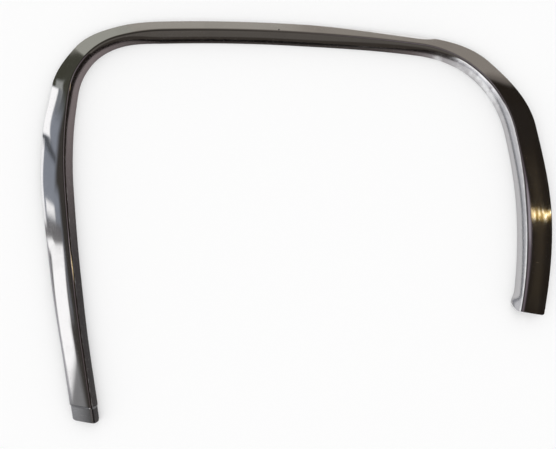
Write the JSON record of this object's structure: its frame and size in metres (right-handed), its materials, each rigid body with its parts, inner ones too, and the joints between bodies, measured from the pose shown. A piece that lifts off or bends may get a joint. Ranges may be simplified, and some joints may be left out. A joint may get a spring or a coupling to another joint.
{
  "type": "chrome trim strip",
  "caption": "Bright pressed-metal moulding in one arched piece with a broad outer face, a ridge and an inward flange, one end stepped to slip under the next strip.",
  "frame": {"origin": "centre of the box's footprint, on the plane of the flange's free edge that the strip lies on", "axes": "+X along the widest extent from the joggled leg to the short leg, +Y towards the crown, +Z out of the polished face"},
  "size_m": [0.7359, 0.5804, 0.0141],
  "materials": {
    "polished_metal": "polished"
  },
  "bodies": {
    "root": {"trim_strip": "polished_metal"}
  },
  "joints": []
}
